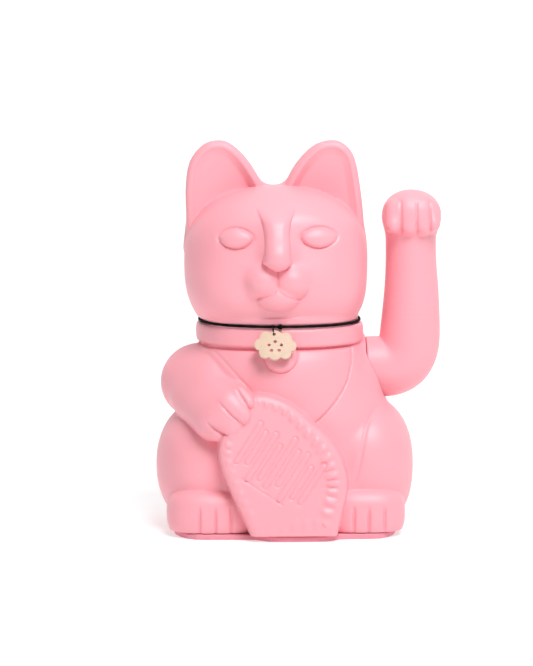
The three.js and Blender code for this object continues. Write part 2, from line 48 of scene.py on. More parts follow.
# ------------------------------------------------------------------ field tools
class Grid:
    """An open grid of points; fields are written into the array D."""
    def __init__(s, xs, ys, zs):
        s.x = xs.astype(F)[:, None, None]; s.y = ys.astype(F)[None, :, None]; s.z = zs.astype(F)[None, None, :]
        s.D = np.full((len(xs), len(ys), len(zs)), 9.0, F)
    def region(s, b):
        if b is None:
            return (slice(None),) * 3, s.x, s.y, s.z
        idx, out = [], []
        for k, a in enumerate((s.x, s.y, s.z)):
            f = a.ravel(); i0 = int(np.searchsorted(f, b[2 * k])); i1 = int(np.searchsorted(f, b[2 * k + 1]))
            if i1 <= i0: return None
            idx.append(slice(i0, i1))
        return tuple(idx), s.x[idx[0]], s.y[:, idx[1]], s.z[:, :, idx[2]]

class Points:
    def __init__(s, P):
        s.x, s.y, s.z = (np.ascontiguousarray(P[:, i]) for i in range(3))
        s.D = np.full(len(P), 9.0)
    def region(s, b):
        if b is None:
            return slice(None), s.x, s.y, s.z
        m = (s.x > b[0]) & (s.x < b[1]) & (s.y > b[2]) & (s.y < b[3]) & (s.z > b[4]) & (s.z < b[5])
        i = np.nonzero(m)[0]
        return (i, s.x[i], s.y[i], s.z[i]) if len(i) else None

def smin(a, b, k):
    if np.isscalar(k) and k <= 0: return np.minimum(a, b)
    h = np.maximum(k - np.abs(a - b), 0.0) / k
    return np.minimum(a, b) - h * h * (k * 0.25)
def smax(a, b, k): return -smin(-a, -b, k)
def sstep(t): t = np.clip(t, 0, 1); return t * t * (3 - 2 * t)

def add(c, b, fn, k):
    r = c.region(b)
    if r is None: return
    i, x, y, z = r
    c.D[i] = smin(c.D[i], fn(x, y, z), k)
def cut(c, b, fn, k):
    r = c.region(b)
    if r is None: return
    i, x, y, z = r
    c.D[i] = smax(c.D[i], -fn(x, y, z), k)
def push(c, b, fn):
    r = c.region(b)
    if r is None: return
    i, x, y, z = r
    c.D[i] = c.D[i] + fn(x, y, z)

def rot(rx=0, ry=0, rz=0):
    return np.array(Matrix.Rotation(math.radians(rz), 3, "Z") @ Matrix.Rotation(math.radians(ry), 3, "Y") @ Matrix.Rotation(math.radians(rx), 3, "X")).T
def ell(c, r, R=None):
    """Ellipsoid with centre c and radii r, turned by R."""
    def fn(x, y, z):
        px, py, pz = x - c[0], y - c[1], z - c[2]
        if R is not None:
            px, py, pz = (R[j][0] * px + R[j][1] * py + R[j][2] * pz for j in range(3))
        k0 = np.sqrt((px / r[0]) ** 2 + (py / r[1]) ** 2 + (pz / r[2]) ** 2)
        k1 = np.sqrt((px / r[0] ** 2) ** 2 + (py / r[1] ** 2) ** 2 + (pz / r[2] ** 2) ** 2) + 1e-6
        return k0 * (k0 - 1) / k1
    return fn
def sell(c, r, n):
    """Super-ellipsoid."""
    def fn(x, y, z):
        a, b, d = np.abs(x - c[0]) / r[0] + 1e-5, np.abs(y - c[1]) / r[1] + 1e-5, np.abs(z - c[2]) / r[2] + 1e-5
        s = a ** n + b ** n + d ** n
        k = s ** (1.0 / n)
        g = k ** (1 - n) * np.sqrt((a ** (n - 1) / r[0]) ** 2 + (b ** (n - 1) / r[1]) ** 2 + (d ** (n - 1) / r[2]) ** 2)
        return (k - 1) / (g + 1e-6)
    return fn
def cone(a, b, ra, rb):
    """Limb with round ends that tapers from ra at a to rb at b."""
    a, b = np.array(a, float), np.array(b, float); ba = b - a; l2 = ba @ ba; rr = ra - rb; a2 = l2 - rr * rr; il2 = 1 / l2
    def fn(x, y, z):
        px, py, pz = x - a[0], y - a[1], z - a[2]
        yy = px * ba[0] + py * ba[1] + pz * ba[2]; zz = yy - l2
        qx, qy, qz = px * l2 - ba[0] * yy, py * l2 - ba[1] * yy, pz * l2 - ba[2] * yy
        x2 = qx * qx + qy * qy + qz * qz; y2 = yy * yy * l2; z2 = zz * zz * l2
        k = np.sign(rr) * rr * rr * x2
        d = (np.sqrt(x2 * a2 * il2) + yy * rr) * il2 - ra
        d = np.where(np.sign(zz) * a2 * z2 > k, np.sqrt(x2 + z2) * il2 - rb, d)
        return np.where((np.sign(zz) * a2 * z2 <= k) & (np.sign(yy) * a2 * y2 < k), np.sqrt(x2 + y2) * il2 - ra, d)
    return fn
def around(c, r, m=6): return (c[0] - r - m, c[0] + r + m, c[1] - r - m, c[1] + r + m, c[2] - r - m, c[2] + r + m)
def blob(ctx, c, r, k, R=None, m=5):
    q = max(r)
    e = [q] * 3 if R is not None else r
    add(ctx, (c[0] - e[0] - m, c[0] + e[0] + m, c[1] - e[1] - m, c[1] + e[1] + m, c[2] - e[2] - m, c[2] + e[2] + m), ell(c, r, R), k)
def limb(ctx, a, b, ra, rb, k, m=5):
    q = max(ra, rb) + m
    add(ctx, tuple(v for j in range(3) for v in (min(a[j], b[j]) - q, max(a[j], b[j]) + q)), cone(a, b, ra, rb), k)

def spline(pts, n=24):
    """Points along a smooth open curve through pts."""
    P = np.array(pts, float); out = []
    Q = np.vstack([2 * P[0] - P[1], P, 2 * P[-1] - P[-2]])
    for i in range(len(P) - 1):
        p0, p1, p2, p3 = Q[i], Q[i + 1], Q[i + 2], Q[i + 3]
        m = max(2, int(n / (len(P) - 1)))
        for t in np.linspace(0, 1, m, endpoint=False):
            out.append(0.5 * ((2 * p1) + (p2 - p0) * t + (2 * p0 - 5 * p1 + 4 * p2 - p3) * t * t + (3 * p1 - p0 - 3 * p2 + p3) * t ** 3))
    out.append(P[-1])
    return np.array(out)
def dist2(u, v, poly, closed=False, full=False):
    """Distance in a plane from (u, v) to a polyline, with where it is nearest if full."""
    best = None; par = None; L = 0.0
    P = list(poly) + ([poly[0]] if closed else [])
    inside = None
    for (ax, ay), (bx, by) in zip(P[:-1], P[1:]):
        dx, dy = bx - ax, by - ay; l2 = dx * dx + dy * dy
        if l2 < 1e-12: continue
        t = np.clip(((u - ax) * dx + (v - ay) * dy) / l2, 0, 1)
        d = (u - ax - t * dx) ** 2 + (v - ay - t * dy) ** 2
        if full:
            s = L + t * math.sqrt(l2)
            par = s if best is None else np.where(d < best, s, par)
        best = d if best is None else np.minimum(best, d)
        L += math.sqrt(l2)
        if closed:
            cr = ((ay > v) != (by > v)) & (u < (bx - ax) * (v - ay) / ((by - ay) if abs(by - ay) > 1e-9 else 1e-9) + ax)
            inside = cr if inside is None else inside ^ cr
    d = np.sqrt(best)
    if closed: d = np.where(inside, -d, d)
    return (d, par / L) if full else d
def groove(ctx, pts, depth, width, y=(-60, 0), taper=0.25, n=24, plane="xz"):
    """A soft groove pressed in along a curve seen from the front; its ends fade."""
    P = spline(pts, n) if len(pts) > 2 else np.array(pts, float)
    m = width * 3
    b = (P[:, 0].min() - m, P[:, 0].max() + m, y[0], y[1], P[:, 1].min() - m, P[:, 1].max() + m)
    def fn(x, yy, z):
        d, t = dist2(x, z, P, full=True)
        e = np.minimum(np.minimum(t, 1 - t) / taper, 1) if taper > 0 else 1.0
        return depth * np.exp(-(d / width) ** 2) * (np.sqrt(np.clip(e, 0, 1)) if taper > 0 else 1.0)
    push(ctx, b, fn)

def table(zs, vals, smooth=2.0):
    """A smooth profile over height."""
    g = np.arange(zs[0] - 20, zs[-1] + 20, 0.25); v = np.interp(g, zs, vals)
    k = np.exp(-0.5 * (np.arange(-40, 41) * 0.25 / smooth) ** 2); k /= k.sum()
    v = np.convolve(np.pad(v, 40, mode="edge"), k, "valid")
    return lambda z: np.interp(z, g, v).astype(z.dtype)

# ------------------------------------------------------------------ the cat's form
HX, HY, HZ = -3.0, -1.0, 102.5
RINGS = [(0, 40.2, -34, 36.4, 3.2, .3), (4, 42, -34.6, 37.8, 3.2, .3), (8, 43, -35, 39, 3.2, .3), (20, 44, -35, 40.5, 3.1, .3), (32, 43, -34, 40, 2.9, .3), (43.5, 41, -33, 37.5, 2.7, .3),
         (52, 37.4, -31.3, 34, 2.5, 0), (60, 34.2, -29.6, 31.5, 2.4, -.3), (67, 32, -28.2, 29.3, 2.35, -.8), (71, 30.7, -27.5, 28.6, 2.3, -1.4), (76, 30.0, -29.2, 29.3, 2.3, -1.6), (82, 29.9, -29.2, 29.3, 2.3, -1.6), (88, 29, -27, 27.4, 2.3, -2.5)]
T_A, T_F, T_R, T_N, T_C = (table([r[0] for r in RINGS], [r[i] for r in RINGS], 1.3) for i in range(1, 6))
EAR_L = spline([(-36.8, 116), (-37.0, 128.9), (-35.4, 138.4), (-30.6, 144.6), (-25.2, 146.4), (-20.2, 145.2), (-13.8, 139.3), (-7.9, 129.8), (-4, 121)], 40)
EAR_R = spline([(-3.4, 121), (0.3, 129.4), (4.9, 137.8), (11.3, 144.3), (17.9, 146.4), (23.0, 144.9), (26.9, 139.6), (29.2, 126.5), (30.2, 116)], 40)
EAR_L = np.vstack([EAR_L, [(-12, 110), (-30, 104), (-36.6, 106)]]); EAR_R = np.vstack([EAR_R, [(30.4, 106), (24, 104), (4, 110)]])

def torso(x, y, z):
    zc = np.clip(z, -5, 95); a, f, r, n, cx = T_A(zc), T_F(zc), T_R(zc), T_N(zc), T_C(zc)
    cy, b = (f + r) / 2, (r - f) / 2
    p, q = np.abs(x - cx) / a + 1e-5, np.abs(y - cy) / b + 1e-5
    k = (p ** n + q ** n) ** (1 / n)
    g = k ** (1 - n) * np.sqrt((p ** (n - 1) / a) ** 2 + (q ** (n - 1) / b) ** 2)
    return np.maximum((k - 1) / (g + 1e-6), z - 82)
def band(x, y, z):
    """The collar: a soft flat band with rounded edges."""
    h = (z - 74.3) / 3.9
    a, b, n = 31.75 - 0.45 * h ** 2, 29.95 - 0.45 * h ** 2, 2.3
    p, q = np.abs(x + 1.5) / a + 1e-5, np.abs(y - 0.1) / b + 1e-5
    k = (p ** n + q ** n) ** (1 / n)
    g = k ** (1 - n) * np.sqrt((p ** (n - 1) / a) ** 2 + (q ** (n - 1) / b) ** 2)
    return smax((k - 1) / (g + 1e-6), np.abs(z - 74.3) - 3.85, 1.7)
def head(x, y, z):
    dz = z - HZ; low = dz < 0
    n = np.where(low, 3.05, 2.3).astype(z.dtype); h = np.where(low, 31.5, 27.2).astype(z.dtype)
    ax, ay, nh = 34.7, np.where(y < HY, 30.5, 29.5).astype(y.dtype), 2.25
    cx = HX + 0.5 * sstep((96 - z) / 16)
    px, py, pz = np.abs(x - cx) / ax + 1e-5, np.abs(y - HY) / ay + 1e-5, np.abs(dz) / h + 1e-5
    rho = (px ** nh + py ** nh) ** (1 / nh)
    k = (rho ** n + pz ** n) ** (1 / n)
    gr = k ** (1 - n) * rho ** (n - 1)
    gx, gy = gr * rho ** (1 - nh) * px ** (nh - 1) / ax, gr * rho ** (1 - nh) * py ** (nh - 1) / ay
    gz = k ** (1 - n) * pz ** (n - 1) / h
    return smax((k - 1) / (np.sqrt(gx * gx + gy * gy + gz * gz) + 1e-6), 79.5 - z, 1.0)

def pad(c, r, nh, nv):
    """Super-ellipsoid with one exponent in plan and another in height."""
    def fn(x, y, z):
        px, py, pz = np.abs(x - c[0]) / r[0] + 1e-5, np.abs(y - c[1]) / r[1] + 1e-5, np.abs(z - c[2]) / r[2] + 1e-5
        rho = (px ** nh + py ** nh) ** (1 / nh); k = (rho ** nv + pz ** nv) ** (1 / nv); gr = k ** (1 - nv) * rho ** (nv - 1)
        gx, gy = gr * rho ** (1 - nh) * px ** (nh - 1) / r[0], gr * rho ** (1 - nh) * py ** (nh - 1) / r[1]
        return (k - 1) / (np.sqrt(gx * gx + gy * gy + (k ** (1 - nv) * pz ** (nv - 1) / r[2]) ** 2) + 1e-6)
    return fn
def ear(ctx, out, inner):
    b = (out[:, 0].min() - 3, out[:, 0].max() + 3, -14, 16, 102, 151)
    def fn(x, y, z):
        d2 = dist2(x, z, out, closed=True)
        t = np.clip((z - 118) / 28, 0, 1)
        h, yc, r = 6.4 - 2.2 * t, 0.7 + 0.3 * t, 2.4
        q1, q2 = d2 + r, np.abs(y - yc) - (h - r)
        slab = np.minimum(np.maximum(q1, q2), 0) + np.sqrt(np.maximum(q1, 0) ** 2 + np.maximum(q2, 0) ** 2) - r
        deep = np.exp(-((x - inner[0]) ** 2 / (2 * 8.5 ** 2) + (z - inner[1]) ** 2 / (2 * 8.0 ** 2)))
        depth = 0.55 * sstep((-d2 - 2.2) / 0.9) + sstep((-d2 - 2.2) / 3.2) * (0.4 + 2.7 * deep)
        return smax(slab, (yc - h + depth) - y, 0.8)
    r = ctx.region(b)
    if r is None: return
    i, x, y, z = r
    ctx.D[i] = smin(ctx.D[i], fn(x, y, z), 0.3 + 3.2 * sstep((y + 0.5) / 3))
    push(ctx, b, lambda x, y, z: 0.4 * np.exp(-((y + 1.3) / 0.42) ** 2) * (z > 121) * (dist2(x, z, out, closed=True) > -0.9))   # mould line

def dome(ctx, c, a, b, h, n=1.75):
    """A low oval dome with a crisp crease round it, seen from the front."""
    def fn(x, y, z):
        e = np.abs((x - c[0]) / a) ** n + np.abs((z - c[1]) / b) ** n
        k = (e ** (1 / n) - 1) * b
        return -h * np.sqrt(np.maximum(1 - e, 0)) + 0.5 * np.exp(-(k / 0.45) ** 2) + 0 * y
    push(ctx, (c[0] - a - 2, c[0] + a + 2, -50, -12, c[1] - b - 2, c[1] + b + 2), fn)

def pillow(ctx, poly, h, w, y=(-60, -15), edge=0.0, fade=None, n=0, power=0.5):
    """Raises the surface inside an outline seen from the front, steep at its edge."""
    P = np.array(poly, float)
    if n:
        Q = spline(np.vstack([P[-2:], P, P[:2]]), n); k = n // (len(P) + 3); P = Q[2 * k:-(k + 1)]
    b = (P[:, 0].min() - 1.5, P[:, 0].max() + 1.5, y[0], y[1], P[:, 1].min() - 1.5, P[:, 1].max() + 1.5)
    def fn(x, yy, z):
        d = dist2(x, z, P, closed=True)
        t = np.clip(-d / w, 0, 1)
        v = h * (1 - (1 - t) ** 2) ** power
        if edge: v = v - edge * np.exp(-(d / 0.42) ** 2)
        if fade: v = v * fade(x, z)
        return -v
    push(ctx, b, fn)

# the coin: its outline seen from the front, and a face that leans back a little
CO = np.array([-2.1, -36.6, 24.4]); lean = math.radians(6)
C_N = np.array([0, -math.cos(lean), math.sin(lean)])
COIN = spline([(-11.4, 55.0), (-6.4, 54.4), (0.1, 51.9), (5.1, 48.2), (9.6, 44.2), (15.3, 38.9), (19.0, 33.9), (21.3, 28.8), (22.7, 22.8), (22.5, 17.5), (20.9, 10.8)], 30)
COIN = np.vstack([COIN, [(18.4, 0.0), (-13.2, 0.0)], spline([(-17.7, 10.2), (-21.4, 17.8), (-24.4, 26.0), (-25.8, 32.0), (-25.4, 37.3), (-22.9, 43.2), (-19.1, 49.4), (-15.4, 53.4), (-11.4, 55.0)], 24)[:-1]])
COIN_L = float(np.sqrt(((np.vstack([COIN[1:], COIN[:1]]) - COIN) ** 2).sum(1)).sum())
def coin(ctx):
    T = 5.3
    def fn(x, y, z):
        px, py, pz = x - CO[0], y - CO[1], z - CO[2]
        n = py * C_N[1] + pz * C_N[2]
        d = dist2(x, z, COIN, closed=True)
        return smax(smax(d + 0.10 * (n + 2), n - T, 2.6), -9 - n, 0.3)
    add(ctx, (-30, 28, -60, -22, -3, 60), fn, 0.4)
    def marks(x, y, z):
        py, pz = y - CO[1], z - CO[2]
        n = py * C_N[1] + pz * C_N[2]
        d, t = dist2(x, z, COIN, closed=True, full=True)
        right = sstep((x + 6) / 10)
        off = 3.7 + 2.3 * right * sstep((50 - z) / 26)
        hl = 1.25 + 1.1 * right * sstep((48 - z) / 26)
        amp = (1.05 * right + 0.6 * (1 - right)) * (1 - 0.6 * sstep((12 - z) / 5))
        bars = -amp * np.exp(-np.abs((d + off) / hl) ** 3.5) * (0.5 + 0.5 * np.cos(2 * math.pi * t * COIN_L / 4.25)) ** 1.0
        # generic ornament: rows of rounded loops pressed across the field
        u = (x + 3.4) * 0.545 + (z - 28.6) * 0.838; s = (x + 3.4) * 0.838 - (z - 28.6) * 0.545
        best = None
        for j in range(-4, 5):
            half = (10.2, 7.0)[j % 2] * math.sqrt(1 - (j / 6.6) ** 2)
            shift = (0.9, -0.9)[(j // 2) % 2]
            dd = np.abs(np.sqrt(np.maximum(np.abs(u - shift) - half, 0) ** 2 + (s - j * 3.5) ** 2) - 1.05)
            best = dd if best is None else np.minimum(best, dd)
        orn = 0.5 * np.exp(-(best / 0.36) ** 2)
        line = 0.38 * np.exp(-(np.sqrt(np.maximum(np.abs(s) - 9.0, 0) ** 2 + (u + 11.6) ** 2) / 0.36) ** 2)
        return (bars + orn + line) * np.exp(-((n - T) / 2.5) ** 2)
    push(ctx, (-30, 28, -50, -34, 0, 58), marks)

EYE_L = [(-25.8, 110.7), (-24.0, 113.3), (-21.3, 115.3), (-18.4, 116.0), (-15.4, 115.3), (-13.2, 113.6), (-11.6, 111.7), (-13.5, 109.7), (-16.5, 108.2), (-19.9, 107.6), (-23.2, 108.5)]
EYE_R = [(4.6, 111.3), (6.5, 113.8), (9.1, 115.7), (12.1, 116.3), (15.1, 115.7), (17.7, 113.8), (19.7, 111.0), (17.7, 109.1), (14.7, 107.9), (11.8, 107.7), (7.6, 108.7)]
NOSE = [(-13.0, 126.0), (-10.6, 121.3), (-8.8, 116.8), (-8.1, 112.4), (-8.1, 109.0), (-8.5, 105.7), (-9.4, 103.1), (-6.4, 101.0), (-3.3, 99.7), (-0.3, 100.8), (1.9, 102.6), (1.5, 106.0), (1.3, 109.7), (1.2, 113.8), (1.8, 117.9), (3.3, 121.6), (5.6, 126)]
BIB = [(-33, 69.8), (24.6, 70.2), (24.9, 67.2), (24.3, 62.7), (23.1, 58.5), (20.8, 54.2), (18.0, 50.4), (14.3, 46.5), (9.8, 42.4), (0, 34), (-20, 40), (-33, 55)]
def body(ctx):
    ctx.D[...] = 9.0
    add(ctx, (-60, 60, -60, 60, -10, 84), torso, 0)
    add(ctx, (-34, 34, -42, 12, 36, 82), ell((-1, -12.2, 58.0), (26, 18.2, 16.0)), 5)
    pillow(ctx, BIB, 1.5, 5.0, (-46, -2), edge=0.6)
    # haunches, feet
    add(ctx, (-54, -4, -40, 30, -4, 56), sell((-28.6, -6, 24.3), (19.9, 27.2, 24.5), 2.15), 0.9)
    add(ctx, (4, 54, -40, 30, -4, 56), sell((28.9, -6, 24.3), (19.9, 27.2, 25.6), 2.35), 0.9)
    add(ctx, (-50, -4, -44, 2, -8, 26), pad((-26.6, -22.5, 7.6), (18.2, 15.2, 11.4), 2.7, 3.2), 0.45)
    add(ctx, (6, 52, -44, 2, -8, 26), pad((28.6, -22.5, 7.6), (16.2, 15.1, 11.6), 2.7, 3.2), 0.45)
    for xs in ((-32.7, -26.8, -20.9), (24.8, 30.4, 36.3)):
        for x0 in xs:
            groove(ctx, [(x0, 1.0), (x0, 12.6)], 0.95, 0.6, (-45, -26), 0.3)
    push(ctx, (-60, 60, -60, 60, -3, 9), lambda x, y, z: 1.1 * ((9 - np.maximum(z, 0)) / 9) ** 2 + 0 * x + 0 * y)   # lower edge tucks in
    coin(ctx)
    # the arm that holds the coin
    # its outline seen from the front ends in three and a half finger tips on the coin
    PAW = [(-60, 78), (-33.5, 78), (-32.5, 72.0), (-26.4, 68.7), (-19.8, 62.2), (-15.2, 57.5), (-11.9, 54.0), (-11.4, 52.0), (-12.2, 50.2), (-13.7, 49.2), (-12.8, 47.6), (-12.8, 45.6), (-14.1, 43.9), (-16.2, 43.4),
           (-16.5, 41.5), (-17.9, 39.7), (-20.1, 38.9), (-22.2, 39.3), (-23.0, 37.8), (-24.6, 36.8), (-27.0, 36.2), (-60, 24)]
    def arm_left(x, y, z):
        d = smin(cone((-33.3, -3.0, 54.9), (-19.8, -30.3, 47.2), 13.1, 11.0)(x, y, z), ell((-32.6, 2.0, 55.6), (12.4, 16.5, 13.2))(x, y, z), 4)
        d = smin(d, ell((-26.5, -8, 57.0), (10.5, 17.0, 12.6))(x, y, z), 6)
        d = smin(d, cone((-33, -14, 49.5), (-26.6, -30.0, 44.0), 9.0, 8.0)(x, y, z), 4)
        for a, b, r in (((-17.6, -36.2, 55.0), (-14.6, -38.6, 51.8), 2.7), ((-22.0, -36.2, 51.6), (-16.6, -38.4, 46.9), 3.5), ((-26.0, -35.2, 46.2), (-20.6, -38.0, 42.2), 3.5), ((-29.0, -33.2, 41.6), (-25.6, -35.6, 39.4), 2.8)):
            d = smin(d, cone(a, b, r, r)(x, y, z), 1.6)
        return smax(d, dist2(x, z, PAW, closed=True), 1.5)
    add(ctx, (-54, 2, -48, 26, 30, 80), arm_left, 0.35)
    for g in ([(-19.2, 57.2), (-16.6, 53.2), (-13.6, 49.0)], [(-25.6, 51.8), (-20.5, 46.9), (-16.1, 43.5)], [(-30.0, 44.2), (-25.7, 41.0), (-22.1, 39.3)]):
        groove(ctx, g, 0.75, 0.5, (-48, -28), 0.3)
    groove(ctx, [(-32.6, 71.4), (-26.4, 68.4), (-19.8, 61.9), (-15.2, 57.2), (-12.2, 54.3)], 0.35, 0.5, (-40, -2), 0.1)
    # head and collar
    add(ctx, (-50, 45, -45, 45, 74, 140), head, 0.4)
    blob(ctx, (-17.5, -15.5, 92.5), (15, 14.0, 12.0), 7)
    blob(ctx, (11.5, -15.5, 92.5), (15, 14.0, 12.0), 7)
    ear(ctx, EAR_L, (-15.0, 127.0))
    ear(ctx, EAR_R, (9.5, 127.5))
    add(ctx, (-45, 42, -40, 40, 64, 84), band, 0.25)
    push(ctx, (-45, 42, -45, 45, 68, 73), lambda x, y, z: 0.55 * np.exp(-((z - 70.5) / 0.5) ** 2) + 0 * x + 0 * y)
    push(ctx, (-45, 42, -45, 45, 76, 82), lambda x, y, z: 0.35 * np.exp(-((z - 79.0) / 0.6) ** 2) + 0 * x + 0 * y)
    # eye sockets under a soft brow, then the nose bridge
    for cx, cz in ((-19.2, 112.8), (12.9, 113.3)):
        cut(ctx, around((cx, -33, cz), 17), ell((cx, -34.0, cz), (12.5, 5.3, 8.6)), 6)
    limb(ctx, (-3.6, -20.4, 117), (-3.4, -28.8, 106), 5.4, 5.6, 4.0)
    def muzzle(x, y, z):
        return smin(ell((-8.3, -28.9, 95.6), (7.4, 6.9, 6.6))(x, y, z), ell((1.7, -28.9, 95.6), (7.4, 6.9, 6.6))(x, y, z), 0.3)
    add(ctx, (-24, 16, -45, -16, 84, 107), muzzle, 2.6)
    blob(ctx, (-3.2, -28.4, 90.4), (9.0, 7.0, 6.1), 0.35)
    grow = lambda x, z: sstep((124.0 - z) / 7) * (0.5 + 0.5 * sstep((114 - z) / 10))
    pillow(ctx, NOSE, 4.0, 3.6, (-50, -18), edge=0.15, fade=grow)
    blob(ctx, (-3.4, -34.2, 104.6), (3.6, 2.9, 3.0), 2.6)
    dome(ctx, (-18.75, 111.7), 6.4, 3.75, 2.2)
    dome(ctx, (12.2, 112.0), 6.9, 3.8, 2.2)
    groove(ctx, [(-17.8, 102.0), (-18.6, 96.5), (-16.2, 91.0), (-11.5, 86.5)], 0.4, 3.6, (-45, -12), 0.4)
    groove(ctx, [(-3.3, 100.0), (-3.4, 96.7), (-3.5, 93.3)], 0.2, 0.35, (-45, -25), 0)
    groove(ctx, [(-3.5, 93.2), (-2.3, 91.9), (-0.4, 90.6), (2.2, 89.8), (5.1, 89.5), (6.8, 90.7), (8.1, 92.6)], 0.55, 0.5, (-45, -18), 0.12)
    groove(ctx, [(-3.5, 93.2), (-5.1, 91.8), (-7.1, 90.7), (-9.3, 90.0), (-11.6, 89.4)], 0.7, 0.5, (-45, -18), 0.15)
    # moulded bell under the collar
    pillow(ctx, [(-2.2 + 6.3 * math.cos(a), 68.3 + 6.3 * math.sin(a)) for a in np.linspace(0, 2 * math.pi, 40, endpoint=False)], 2.0, 3.4, (-45, -20), edge=0.35, fade=lambda x, z: sstep((72.6 - z) / 1.2))
    # front edge of the right haunch
    groove(ctx, [(37.9, 51.2), (33.2, 46.5), (29.9, 40.8), (28.2, 33.2), (26.7, 25.7), (24.5, 19.2)], 0.45, 0.7, (-48, -6), 0.3)
    # tail, curled against the back
    blob(ctx, (9, 38.5, 20), (8.2, 5.4, 13.5), 1.0, rot(ry=-25))
    # flank that passes in front of the arm's root
    blob(ctx, (24.0, -3.5, 54.0), (13.6, 15.5, 15.0), 1.6)
    limb(ctx, (16, 0, 60.4), (26.2, 0, 60.4), 12.6, 12.6, 2.0)
    # arm socket
    cut(ctx, (24, 60, -16, 16, 44, 76), lambda x, y, z: np.maximum(np.sqrt(y * y + (z - 60.4) ** 2) - 11.85, 31.0 - x), 0.2)
    # parting line: a fine crease all round
    push(ctx, (-60, 60, -2, 2, 0, 150), lambda x, y, z: 0.22 * np.exp(-(y / 0.3) ** 2) + 0 * x + 0 * z)

ARM = [(31.5, 60.4, 11.4), (36, 60.4, 11.5), (40.5, 60.7, 11.6), (44.2, 62.4, 11.65), (46.6, 65.6, 11.6), (47.8, 69.8, 11.5), (48.2, 75, 11.3), (48.5, 83, 10.75), (48.6, 92, 10.1), (48.4, 101, 9.6), (48.3, 110, 9.6), (48.3, 117, 10.2)]
def arm(ctx):
    ctx.D[...] = 9.0
    A = spline([(p[0], p[1], p[2]) for p in ARM], 44)
    def tube(x, y, z):
        best = None
        for a, b in zip(A[:-1], A[1:]):
            dx, dz = b[0] - a[0], b[1] - a[1]; l2 = dx * dx + dz * dz
            t = np.clip(((x - a[0]) * dx + (z - a[1]) * dz) / l2, 0, 1)
            d = np.sqrt((x - a[0] - t * dx) ** 2 + y * y + (z - a[1] - t * dz) ** 2) - (a[2] + t * (b[2] - a[2]))
            best = d if best is None else np.minimum(best, d)
        return best
    add(ctx, None, tube, 0)
    add(ctx, None, sell((48.5, -2.2, 118.2), (11.0, 10.6, 9.1), 2.25), 2.5)
    for x0, zt, zb, r in ((41.1, 121.2, 115.1, 3.2), (46.7, 122.6, 114.7, 3.2), (52.3, 122.4, 114.7, 3.1), (56.0, 120.6, 115.6, 2.7)):
        limb(ctx, (x0, -6.9, zt), (x0, -9.7, zb), r, r, 1.5, m=4)
    for x0 in (43.8, 49.6, 54.7):
        groove(ctx, [(x0, 111.0), (x0, 124.4)], 0.7, 0.5, (-20, -4), 0.3)
    groove(ctx, [(38.5, 112.2), (44, 110.9), (49, 110.7), (54, 110.9), (58.6, 111.9)], 0.4, 0.9, (-20, -2), 0.2)
    ctx.D[...] = smax(ctx.D, 31.25 - ctx.x, 0.5)
    push(ctx, (28, 64, -2, 2, 40, 130), lambda x, y, z: 0.2 * np.exp(-(y / 0.3) ** 2) + 0 * x + 0 * z)

# ------------------------------------------------------------------ fields to meshes
def surface(field, lo, hi, step):
    ax = [np.arange(lo[i], hi[i] + step, step) for i in range(3)]
    D = np.empty([len(a) for a in ax], F)
    def slab(k):
        g = Grid(ax[0], ax[1], ax[2][k:k + 12]); field(g); D[:, :, k:k + 12] = np.clip(g.D, -3 * step, 3 * step)
    with ThreadPoolExecutor(4) as ex: list(ex.map(slab, range(0, len(ax[2]), 12)))
    g = vdb.FloatGrid(3 * step); g.copyFromArray(D)
    pts, tris, quads = g.convertToPolygons(isovalue=0.0, adaptivity=0.0)
    P = np.array(pts, float) * step + np.array(lo)
    for _ in range(2):                       # settle every point on the exact surface
        c = Points(P); field(c); d0 = c.D; G = np.empty_like(P)
        for i in range(3):
            Q = P.copy(); Q[:, i] += 0.05; c = Points(Q); field(c); G[:, i] = (c.D - d0) / 0.05
        g2 = np.maximum((G * G).sum(1), 0.25)
        s = np.clip(d0 / g2, -0.35 * step, 0.35 * step)
        P = P - G * s[:, None]
    return P, np.array(tris, int).reshape(-1, 3), np.array(quads, int).reshape(-1, 4)
def hollow(P, T, Q, wall, step):
    tr = vdb.createLinearTransform(step)
    g = vdb.FloatGrid.createLevelSetFromPolygons(P.astype(F), triangles=T.astype(np.uint32) if len(T) else None, quads=Q.astype(np.uint32), transform=tr, halfWidth=wall / step + 2.0)
    pts, tris, quads = g.convertToPolygons(isovalue=-wall, adaptivity=0.0)
    return np.array(pts, float), np.array(tris, int).reshape(-1, 3), np.array(quads, int).reshape(-1, 4)
def mesh_object(name, P, T, Q):
    me = bpy.data.meshes.new(name)
    faces = [tuple(f) for f in Q[:, ::-1]] + [tuple(f) for f in T[:, ::-1]]
    me.from_pydata([tuple(p) for p in (P * MM)], [], faces)
    me.validate(); me.update()
    o = bpy.data.objects.new(name, me); bpy.context.scene.collection.objects.link(o)
    bm = bmesh.new(); bm.from_mesh(me); bmesh.ops.recalc_face_normals(bm, faces=bm.faces); bm.to_mesh(me); bm.free()
    return o
def box_object(x0, x1, y0, y1, z0, z1):
    bm = bmesh.new(); bmesh.ops.create_cube(bm, size=1)
    for v in bm.verts:
        v.co = Vector(((x0, x1)[v.co.x > 0] * MM, (y0, y1)[v.co.y > 0] * MM, (z0, z1)[v.co.z > 0] * MM))
    me = bpy.data.meshes.new("tool"); bm.to_mesh(me); bm.free()
    o = bpy.data.objects.new("tool", me); bpy.context.scene.collection.objects.link(o)
    return o
